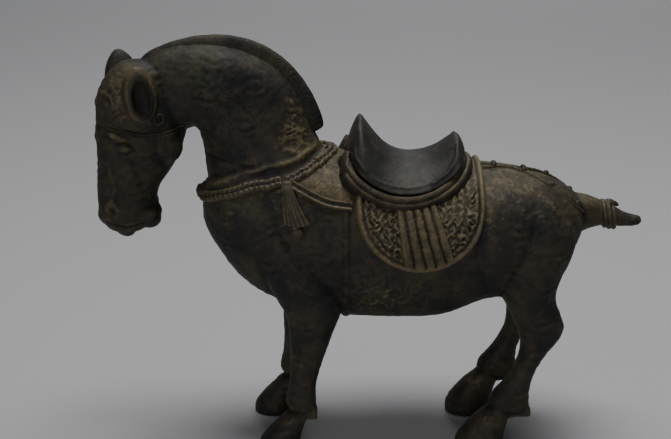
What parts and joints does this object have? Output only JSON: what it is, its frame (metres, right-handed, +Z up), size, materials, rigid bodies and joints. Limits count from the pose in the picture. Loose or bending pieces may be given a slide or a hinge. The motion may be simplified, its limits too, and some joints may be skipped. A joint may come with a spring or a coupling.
{
  "type": "horse statuette",
  "caption": "Standing saddled horse statuette in cast bronze, with an arched neck, a round saddle cloth, pleated fenders, tasselled straps and a short tied tail.",
  "frame": {"origin": "on the ground, midway between the nose and the tip of the tail and midway between the two sides", "axes": "+X runs along the horse from the nose to the tail; +Z is up; +Y is the horse's right side, so the left side faces -Y"},
  "size_m": [0.178, 0.0538, 0.137],
  "materials": {
    "dark_bronze": "satin dark brown patina",
    "rubbed_bronze": "satin, rubbed to ochre on the high points",
    "slate_bronze": "smooth satin, slate grey patina"
  },
  "bodies": {
    "root": {"trunk": "dark_bronze", "neck": "dark_bronze", "head": "dark_bronze", "mane": "dark_bronze", "left_ear": "dark_bronze", "right_ear": "dark_bronze", "left_foreleg": "dark_bronze", "right_foreleg": "dark_bronze", "left_hind_leg": "dark_bronze", "right_hind_leg": "dark_bronze", "left_fore_hoof": "dark_bronze", "right_fore_hoof": "dark_bronze", "left_hind_hoof": "dark_bronze", "right_hind_hoof": "dark_bronze", "tail": "dark_bronze", "girth": "dark_bronze", "saddle_cloth": "dark_bronze", "left_fender": "dark_bronze", "right_fender": "dark_bronze", "tail_binding": "rubbed_bronze", "breast_strap": "rubbed_bronze", "chest_boss": "rubbed_bronze", "withers_strap": "rubbed_bronze", "left_shoulder_strap": "rubbed_bronze", "right_shoulder_strap": "rubbed_bronze", "left_tassel": "rubbed_bronze", "right_tassel": "rubbed_bronze", "left_crupper_strap": "rubbed_bronze", "right_crupper_strap": "rubbed_bronze", "left_cheek_strap": "rubbed_bronze", "right_cheek_strap": "rubbed_bronze", "lower_saddle_pad": "rubbed_bronze", "upper_saddle_pad": "rubbed_bronze", "saddle": "slate_bronze"}
  },
  "joints": []
}
